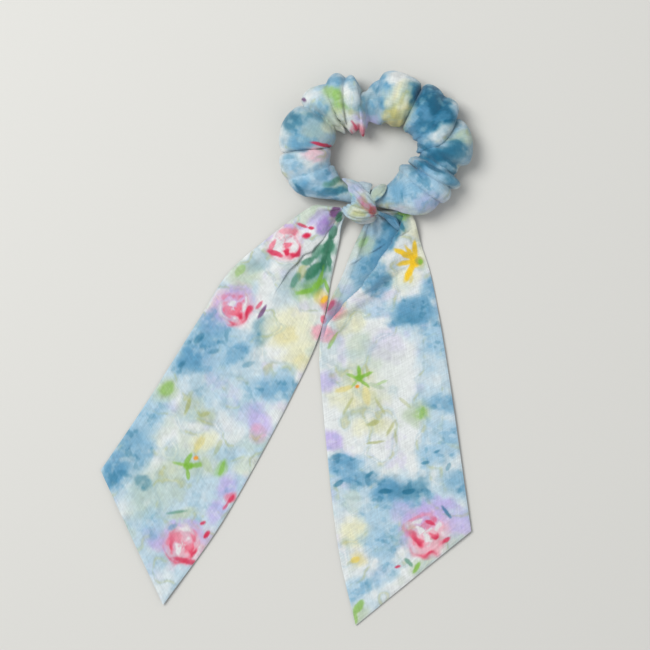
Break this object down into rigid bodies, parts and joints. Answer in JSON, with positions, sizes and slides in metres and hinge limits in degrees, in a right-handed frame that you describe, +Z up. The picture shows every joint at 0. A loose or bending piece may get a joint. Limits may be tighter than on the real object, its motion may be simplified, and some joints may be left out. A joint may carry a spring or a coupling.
{
  "type": "scrunchie",
  "caption": "Hair scrunchie: a gathered cloth ring over an elastic loop, with a long double-layer scarf knotted round it and two slanted tails.",
  "frame": {"origin": "on the table under the middle of the whole scrunchie, tails and ring together", "axes": "+Z up from the table, the thin way; +Y from the tails to the ring, the long way; +X to the right of someone looking down with the ring at the top"},
  "size_m": [0.197, 0.292, 0.024],
  "materials": {
    "casing_cloth": "smooth woven",
    "scarf_face_cloth": "smooth woven",
    "scarf_back_cloth": "smooth woven",
    "elastic": "braided",
    "thread": "spun"
  },
  "bodies": {
    "ring_lower": {"elastic_lower": "elastic", "casing_lower": "casing_cloth", "casing_seam_lower": "thread", "casing_closing_stitches": "thread"},
    "ring_upper": {"elastic_upper": "elastic", "elastic_overlap": "elastic", "elastic_stitches": "thread", "casing_upper": "casing_cloth", "casing_seam_upper": "thread"},
    "scarf_knot": {"scarf_loop": "scarf_face_cloth", "knot_front": "scarf_face_cloth", "knot_tuck": "scarf_face_cloth"},
    "left_tail": {"left_gathers": "scarf_face_cloth", "left_back": "scarf_back_cloth", "left_face": "scarf_face_cloth", "left_allowance": "scarf_face_cloth", "left_thread": "thread"},
    "left_end": {"left_end_back": "scarf_back_cloth", "left_end_face": "scarf_face_cloth", "left_end_allowance": "scarf_face_cloth", "left_end_thread": "thread"},
    "right_tail": {"right_gathers": "scarf_face_cloth", "right_back": "scarf_back_cloth", "right_face": "scarf_face_cloth", "right_allowance": "scarf_face_cloth", "right_thread": "thread"},
    "right_end": {"right_end_back": "scarf_back_cloth", "right_end_face": "scarf_face_cloth", "right_end_allowance": "scarf_face_cloth", "right_end_thread": "thread"}
  },
  "joints": [
    {"name": "ring_stretch", "type": "slide", "parent": "ring_lower", "child": "ring_upper", "axis": [0, 1, 0], "range_m": [0, 0.05], "stiffness_N_per_m": 60},
    {"name": "scarf_roll", "type": "hinge", "parent": "ring_lower", "child": "scarf_knot", "pos_m": [0.03981, 0.08084, 0.011], "axis": [-0.987, 0.161, 0], "range_deg": [0, 45]},
    {"name": "left_swing", "type": "hinge", "parent": "scarf_knot", "child": "left_tail", "pos_m": [0.03547, 0.07198, 0.002], "axis": [0, 0, -1], "range_deg": [0, 12], "stiffness_Nm_per_rad": 0.0005},
    {"name": "left_fold", "type": "hinge", "parent": "left_tail", "child": "left_end", "pos_m": [-0.03406, -0.02607, 0.0023], "axis": [-0.848, 0.5299, 0], "range_deg": [0, 120]},
    {"name": "right_swing", "type": "hinge", "parent": "scarf_knot", "child": "right_tail", "pos_m": [0.04245, 0.07047, 0.002], "axis": [0, 0, 1], "range_deg": [0, 12], "stiffness_Nm_per_rad": 0.0005},
    {"name": "right_fold", "type": "hinge", "parent": "right_tail", "child": "right_end", "pos_m": [0.05851, -0.04845, 0.0023], "axis": [-0.9914, -0.1305, 0], "range_deg": [0, 120]}
  ]
}
